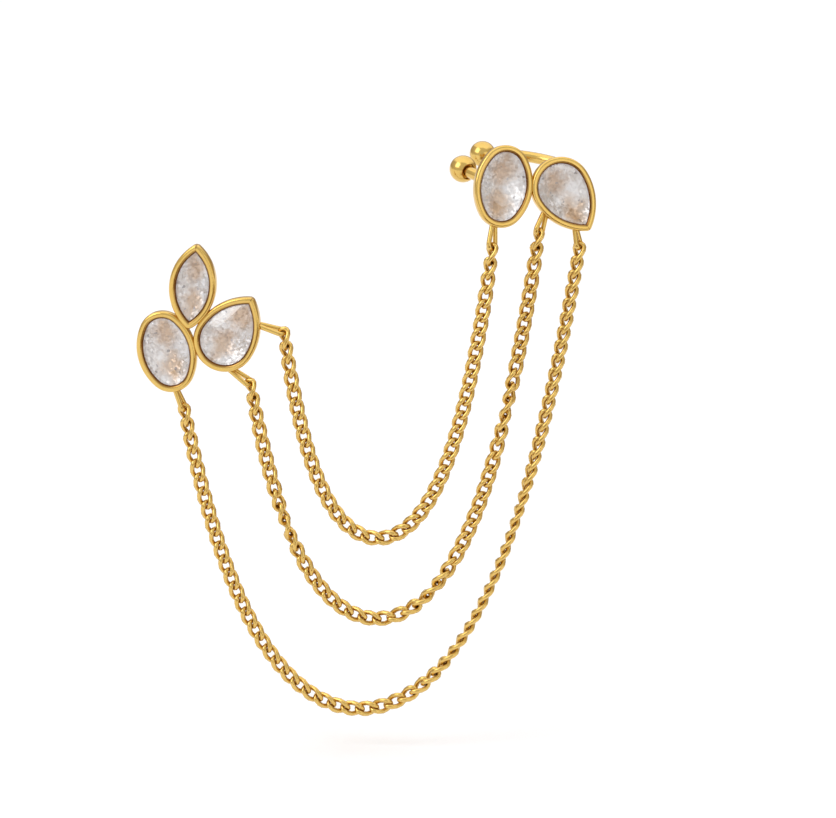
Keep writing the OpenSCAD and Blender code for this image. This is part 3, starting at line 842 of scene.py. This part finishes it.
def stone(name, place, shape, replaced):
    """Cuts one stone and hands it over."""
    girdle = spaced(shape, GIRDLE_INSET, 2 * MAIN_FACETS)
    mains = girdle[::2]
    outs = [outward(shape, GIRDLE_INSET, p) for p in mains]
    half_w = max(p.x for p in girdle)
    top_y, low_y = max(p.y for p in girdle), min(p.y for p in girdle)
    top, base, depth = GIRDLE_Z + GIRDLE_H, GIRDLE_Z, PAVILION_SHARE * half_w
    corners = [(*p, z) for p in girdle for z in (top, base)]
    corners += [(*(p * TABLE_SHARE), top + CROWN_H) for p in mains]
    for tier, (down, wide) in enumerate(PAVILION_TIERS):
        corners += [(*(p * wide), base - depth * down) for p in girdle[tier % 2::2]]
    corners.append((0, 0, base - depth))
    for i in range(MAIN_FACETS):
        j = (i + 1) % MAIN_FACETS
        crown = meet(mains[i], outs[i], mains[j], outs[j], (1 - TABLE_SHARE) * MEET_SHARE)
        corners.append((*crown, top + CROWN_H * MEET_SHARE))
    shell = bmesh.new()
    for corner in corners:
        shell.verts.new(place @ Vector(corner))
    bmesh.ops.convex_hull(shell, input=shell.verts)
    bmesh.ops.dissolve_limit(
        shell, angle_limit=radians(FLAT_ANGLE), verts=shell.verts, edges=shell.edges)
    face_on = shell.loops.layers.uv.new("face_on")
    to_bench = place.inverted()
    for facet in shell.faces:
        spots = [to_bench @ corner.vert.co for corner in facet.loops]
        facet.material_index = int(min(p.z for p in spots) < base - HAIR)
        for corner, p in zip(facet.loops, spots):
            corner[face_on].uv = (p.x / half_w, (2 * p.y - top_y - low_y) / (top_y - low_y))
    print(name, "has", len(shell.faces), "facets")
    finish_piece(name, shell, [zirconia, foil], replaced, sharp_angle=0)


for setting, cups in ((STUD, STUD_CUPS), (CUFF, CUFF_CUPS)):
    for cup_name, row in cups.items():
        stone(cup_name + "_brilliant", cup_place(setting, row), row[0], cup_name + "_stone")


# %% [markdown]
# Where a chain's end settles
#
# A link hangs at the lowest point of the loop's round end, but a soldered loop is stiff and
# the chain keeps the link near its tip. The link then stands square to the wire that it
# hooks, so its roll about the chain follows from the direction of the wire there.

# %% Where a chain's end settles
# How far from the tip a link may lie, and how far its end is turned where it hooks, in degrees
SETTLE_LIMIT, HOOK_TWIST = 15, 38


def settled(setting, row):
    """The point in mm where a chain starts on a loop, and the direction of the wire there."""
    place, end_x = loop_place(setting, row)
    ahead, across = (place.col[i].xyz.normalized() for i in (0, 1))
    lowest = degrees(atan2(-across.z, -ahead.z))
    a = radians(max(-SETTLE_LIMIT, min(SETTLE_LIMIT, lowest)))
    out = ahead * cos(a) + across * sin(a)
    return place @ Vector((end_x, 0, 0)) / MM + out * LOOP_W / 2, across * cos(a) - ahead * sin(a)


def hook_roll(level, slope, wire, end_twist, wanted):
    """Roll in degrees that sets a link's end square to a wire, as near as it can be to a wish."""
    along = (level + Vector((0, 0, slope))).normalized()
    over = (Vector((0, 0, 1)) - slope * level).normalized()
    wide = wire.cross(along)
    roll = degrees(atan2(wide.dot(along.cross(over)), wide.dot(over))) - end_twist
    return wanted + (roll - wanted + 90) % 180 - 90


for name, setting, loops in (("Stud", STUD, STUD_LOOPS), ("Cuff", CUFF, CUFF_LOOPS)):
    print(name, "loops hold the chains at", [tuple(round(c, 1) for c in settled(setting, row)[0])
                                             for row in loops])


# %% [markdown]
# The curve of a hanging chain
#
# A chain held at its two ends hangs in a catenary, the same curve as a power line's. Its
# size follows from the length of chain and the distance between the ends, and is found by
# halving an interval. Each point of the curve also keeps a roll, because a curb chain turns
# slowly about itself where it hangs freely.

# %% The curve of a hanging chain
# Length in mm, number of links, and roll in degrees by share of the length
CHAINS = {
    "inner_chain": (54.75, 40, [(0.1, 0), (0.91, 0)]),
    "middle_chain": (69.9, 51, [
        (0.08, 0), (0.13, 0), (0.27, -180), (0.4, -180), (0.54, -360), (0.68, -360),
        (0.82, -540), (0.93, -540)]),
    "outer_chain": (88, 64, [
        (0.07, 0), (0.42, 0), (0.52, -90), (0.69, -90), (0.8, -50), (0.95, -50)]),
}
# Length between a chain's end and the middle of its first link
END_GAP = 0.49
PATH_STEPS = 400
# The catenary's size in mm lies between the first two, and their interval is halved this often
SMALLEST, LARGEST, HALVINGS = 0.5, 500, 60


def looked_up(table, x):
    """Straight-line look-up in a table of pairs."""
    for (x0, y0), (x1, y1) in zip(table, table[1:]):
        if x <= x1:
            return y0 + (y1 - y0) * (x - x0) / (x1 - x0)
    return table[-1][1]


def hanging_path(number, length, rolls):
    """Points in mm and rolls in radians, from the middle of the first link to that of the last."""
    start, start_wire = settled(STUD, STUD_LOOPS[number])
    end, end_wire = settled(CUFF, CUFF_LOOPS[number])
    level = Vector((end.x - start.x, end.y - start.y, 0))
    span, rise = level.length, end.z - start.z
    ahead = level.normalized()
    low, high = SMALLEST, LARGEST
    for _ in range(HALVINGS):
        size = sqrt(low * high)
        if 2 * size * sinh(span / (2 * size)) > sqrt(length ** 2 - rise ** 2):
            low = size
        else:
            high = size
    low_at = span / 2 - size * asinh(rise / (2 * size * sinh(span / (2 * size))))
    s0 = size * sinh(-low_at / size)
    first = hook_roll(ahead, s0 / size, start_wire, -HOOK_TWIST, rolls[0][1])
    last = hook_roll(ahead, (s0 + length) / size, end_wire, HOOK_TWIST, rolls[-1][1])
    end_share = END_GAP / length
    rolls = [(0, first), (end_share, first), *rolls, (1 - end_share, last), (1, last)]
    points, turns = [], []
    for i in range(PATH_STEPS + 1):
        s = END_GAP + (length - 2 * END_GAP) * i / PATH_STEPS
        u = (s + s0) / size
        up = size * (sqrt(1 + u * u) - sqrt(1 + (s0 / size) ** 2))
        points.append(start + ahead * (low_at + size * asinh(u)) + Vector((0, 0, up)))
        turns.append(radians(looked_up(rolls, s / length)))
    return points, turns


PATHS = {}
for number, (node, (length, _, rolls)) in enumerate(CHAINS.items()):
    PATHS[node] = hanging_path(number, length, rolls)
    print(node, "hangs down to", round(min(p.z for p in PATHS[node][0]), 1), "mm")


# %% [markdown]
# A tree for the chains
#
# The same link is repeated up to sixty-four times along a curve, which is what Geometry
# Nodes are good at. The tree starts with the sizes that it is given by name. It then works
# out, for each station of a circle, where that point of a link's middle line lies: an oval
# whose two ends are turned opposite ways, as a curb link's are.

# %% A tree for the chains
chain_tree = bpy.data.node_groups.new("curb_chain", "GeometryNodeTree")
chain_tree.is_modifier = True
face = chain_tree.interface
face.new_socket("Geometry", in_out="INPUT", socket_type="NodeSocketGeometry")
face.new_socket("Geometry", in_out="OUTPUT", socket_type="NodeSocketGeometry")
SOCKETS = {}
for title, kind in (("Links", "NodeSocketInt"), ("Link length", "NodeSocketFloat"),
                    ("Link width", "NodeSocketFloat"), ("Wire radius", "NodeSocketFloat"),
                    ("End twist", "NodeSocketFloat"), ("Finish", "NodeSocketMaterial")):
    SOCKETS[title] = face.new_socket(title, in_out="INPUT", socket_type=kind).identifier
given = add(chain_tree, "NodeGroupInput").outputs

LINK_STATIONS, LINK_SIDES, END_POWER, TWIST_REACH = 18, 7, 0.8, 0.8
STATION_TURN = 2 * pi / LINK_STATIONS
results = {
    "station": add(chain_tree, "GeometryNodeInputIndex").outputs[0],
    "length": given["Link length"], "width": given["Link width"], "end twist": given["End twist"],
}
# Each row is one Math node: the name of its result, what it does and what it takes.
# A power below one flattens the cosine and the sine, which makes the link's ends less round.
LINK_SUMS = (
    ("angle", "MULTIPLY_ADD", "station", STATION_TURN, STATION_TURN / 2),
    ("cosine", "COSINE", "angle"),
    ("cosine size", "ABSOLUTE", "cosine"),
    ("cosine sign", "SIGN", "cosine"),
    ("cosine flattened", "POWER", "cosine size", END_POWER),
    ("along", "MULTIPLY", "cosine sign", "cosine flattened"),
    ("sine", "SINE", "angle"),
    ("sine size", "ABSOLUTE", "sine"),
    ("sine sign", "SIGN", "sine"),
    ("sine flattened", "POWER", "sine size", END_POWER),
    ("aside", "MULTIPLY", "sine sign", "sine flattened"),
    ("half width", "DIVIDE", "width", 2),
    ("across", "MULTIPLY", "aside", "half width"),
    ("end share", "DIVIDE", "along", TWIST_REACH),
    ("end share to 1", "MINIMUM", "end share", 1),
    ("end share from -1", "MAXIMUM", "end share to 1", -1),
    ("twist", "MULTIPLY", "end share from -1", "end twist"),
    ("twist sine", "SINE", "twist"),
    ("twist cosine", "COSINE", "twist"),
    ("x", "MULTIPLY", "across", "twist sine"),
    ("minus y", "MULTIPLY", "across", "twist cosine"),
    ("y", "MULTIPLY", "minus y", -1),
    ("half length", "DIVIDE", "length", 2),
    ("z", "MULTIPLY", "along", "half length"),
)
for name, operation, *terms in LINK_SUMS:
    taken = {i: results.get(term, term) for i, term in enumerate(terms)}
    results[name] = add(chain_tree, "ShaderNodeMath", {"operation": operation}, taken).outputs[0]
print("A link's middle line takes", len(LINK_SUMS), "sums")

# %% [markdown]
# Wire and copies
#
# The circle is bent to that line and gets its wire. The side of the wire that faces the
# link's middle is marked, and the gold plate paints it darker there as painted shade. A copy of
# the link is then set at even distances along the path, turned by the path's tilt. Realize
# Instances makes the copies real, so that the export keeps them.

# %% Wire and copies
spot = add(chain_tree, "ShaderNodeCombineXYZ",
           inputs={"X": results["x"], "Y": results["y"], "Z": results["z"]})
circle = add(chain_tree, "GeometryNodeCurvePrimitiveCircle", inputs={"Resolution": LINK_STATIONS})
bent = add(chain_tree, "GeometryNodeSetPosition",
           inputs={"Geometry": circle.outputs["Curve"], "Position": spot.outputs[0]})
wire = add(chain_tree, "GeometryNodeCurvePrimitiveCircle",
           inputs={"Resolution": LINK_SIDES, "Radius": given["Wire radius"]})
link = add(chain_tree, "GeometryNodeCurveToMesh",
           inputs={"Curve": bent.outputs[0], "Profile Curve": wire.outputs["Curve"]})

out = add(chain_tree, "ShaderNodeVectorMath", {"operation": "NORMALIZE"},
          {0: add(chain_tree, "GeometryNodeInputPosition").outputs[0]})
facing = add(chain_tree, "ShaderNodeVectorMath", {"operation": "DOT_PRODUCT"},
             {0: out.outputs[0], 1: add(chain_tree, "GeometryNodeInputNormal").outputs[0]})
# Painted shade: how much darker the plate is painted on the side of the wire that faces the link's
# middle
inner_shade = add(chain_tree, "ShaderNodeMapRange", inputs={
    "Value": facing.outputs["Value"], "From Min": -0.15, "From Max": -0.85, "To Min": 0, "To Max": 0.75})
link = add(chain_tree, "GeometryNodeStoreNamedAttribute", {"data_type": "FLOAT", "domain": "POINT"},
           {"Geometry": link.outputs[0], "Name": "inner_side_shade", "Value": inner_shade.outputs[0]})

line = add(chain_tree, "GeometryNodeMeshToCurve", inputs={"Mesh": given["Geometry"]})
upright = add(chain_tree, "GeometryNodeSetCurveNormal", {"mode": "Z_UP"}, {"Curve": line.outputs[0]})
roll = add(chain_tree, "GeometryNodeInputNamedAttribute", {"data_type": "FLOAT"}, {"Name": "roll"})
tilted = add(chain_tree, "GeometryNodeSetCurveTilt",
             inputs={"Curve": upright.outputs[0], "Tilt": roll.outputs[0]})
spots = add(chain_tree, "GeometryNodeCurveToPoints", {"mode": "COUNT"},
            {"Curve": tilted.outputs[0], "Count": given["Links"]})
copies = add(chain_tree, "GeometryNodeInstanceOnPoints", inputs={
    "Points": spots.outputs["Points"], "Instance": link.outputs[0],
    "Rotation": spots.outputs["Rotation"]})
real = add(chain_tree, "GeometryNodeRealizeInstances", inputs={"Geometry": copies.outputs[0]})
smooth = add(chain_tree, "GeometryNodeSetShadeSmooth", inputs={"Geometry": real.outputs[0]})
plated = add(chain_tree, "GeometryNodeSetMaterial",
             inputs={"Geometry": smooth.outputs[0], "Material": given["Finish"]})
add(chain_tree, "NodeGroupOutput", inputs={"Geometry": plated.outputs[0]})
print("The chain's tree has", len(chain_tree.nodes), "nodes")

# %% [markdown]
# Hanging the three chains
#
# Each path becomes a bare line of edges that carries its roll. The modifier turns it into
# links, and the evaluated result is kept as a plain mesh.

# %% Hanging the three chains
# The wire is thicker than the CAD model's, whose links have to stay 0.1 mm apart
LINK = {
    "Link length": 1.96 * MM, "Link width": 1.06 * MM,
    "Wire radius": 0.235 * MM, "End twist": radians(50),
}

for node, (_, links, _) in CHAINS.items():
    points, turns = PATHS[node]
    path_mesh = bpy.data.meshes.new(node + "_path")
    path_mesh.from_pydata([p * MM for p in points], [(i, i + 1) for i in range(PATH_STEPS)], [])
    path_mesh.attributes.new("roll", "FLOAT", "POINT").data.foreach_set("value", turns)
    path_object = placed(node + "_path", path_mesh)
    modifier = path_object.modifiers.new("links", "NODES")
    modifier.node_group = chain_tree
    modifier[SOCKETS["Links"]] = links
    for title, value in LINK.items():
        modifier[SOCKETS[title]] = value
    modifier[SOCKETS["Finish"]] = chain_plate
    bpy.context.view_layer.update()
    made = path_object.evaluated_get(bpy.context.evaluated_depsgraph_get())
    mesh = bpy.data.meshes.new_from_object(made)
    mesh.name = node + "_links"
    bpy.data.objects.remove(path_object)
    hand_over(node + "_links", mesh, node)
